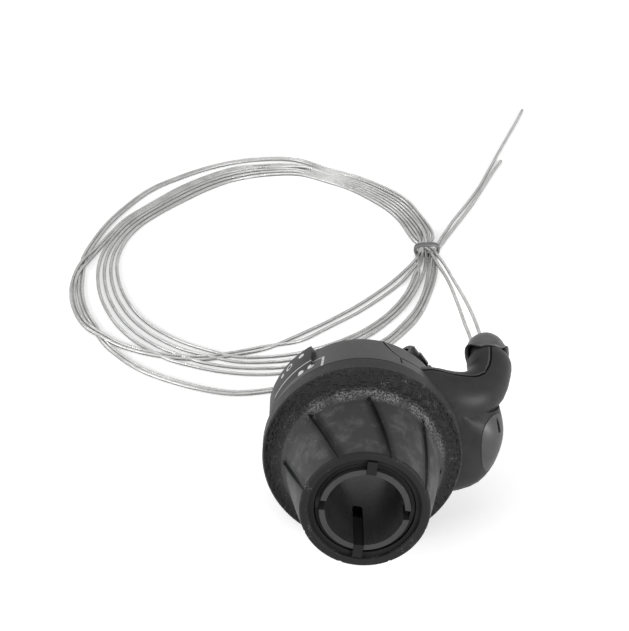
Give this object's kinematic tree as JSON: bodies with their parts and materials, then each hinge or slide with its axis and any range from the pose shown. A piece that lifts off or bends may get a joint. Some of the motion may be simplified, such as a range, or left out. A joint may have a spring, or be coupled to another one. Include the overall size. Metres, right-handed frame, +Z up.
{
  "type": "twist shifter",
  "caption": "Twist grip for a bicycle handlebar: a tapered rubber grip turns a cable drum in a round housing whose curved arm carries gear cables to a coil on the table.",
  "frame": {"origin": "centre of the base of the box around the shifter without its cables, on the table", "axes": "+Z up from the table; -Y towards the end of the grip, as seen by the camera; +X towards the cable arm"},
  "size_m": [0.1757, 0.3044, 0.0586],
  "materials": {
    "sleeve": "satin",
    "black_plastic": "matt, faintly textured",
    "grip_rubber": "matt rubber, rubbed lighter on the crest",
    "housing_plastic": "matt, faintly textured",
    "cover_plastic": "satin",
    "boot_rubber": "satin rubber",
    "drum_plastic": "matt",
    "cable_steel": "bright stranded steel",
    "screw_steel": "blackened, glossy",
    "zinc_steel": "satin",
    "tie_plastic": "satin"
  },
  "bodies": {
    "housing": {"handlebar_sleeve": "sleeve", "retaining_ring": "sleeve", "front_shell": "housing_plastic", "rear_shell": "housing_plastic", "side_cover": "cover_plastic", "thrust_washer": "zinc_steel", "wave_washer": "zinc_steel", "clamp_collar": "black_plastic", "clamp_screw": "screw_steel", "clamp_nut": "zinc_steel", "housing_screws": "screw_steel", "cable_stop": "black_plastic", "cable_boot": "boot_rubber", "cable_a_inner": "cable_steel", "cable_b_inner": "cable_steel", "cable_a_lead": "cable_steel", "cable_b_lead": "cable_steel", "cable_coil": "cable_steel", "coil_tie": "tie_plastic", "cable_a_end": "cable_steel", "cable_b_end": "cable_steel"},
    "grip": {"grip_core": "black_plastic", "grip_rubber": "grip_rubber", "cable_drum": "drum_plastic", "cable_nipple_a": "zinc_steel", "cable_nipple_b": "zinc_steel", "cable_wrap_a": "cable_steel", "cable_wrap_b": "cable_steel"}
  },
  "joints": [
    {"name": "grip_twist", "type": "hinge", "parent": "housing", "child": "grip", "pos_m": [-0.0078, -0.0037, 0.02962], "axis": [0, -0.9861, 0.1661], "range_deg": [-90, 90]}
  ]
}
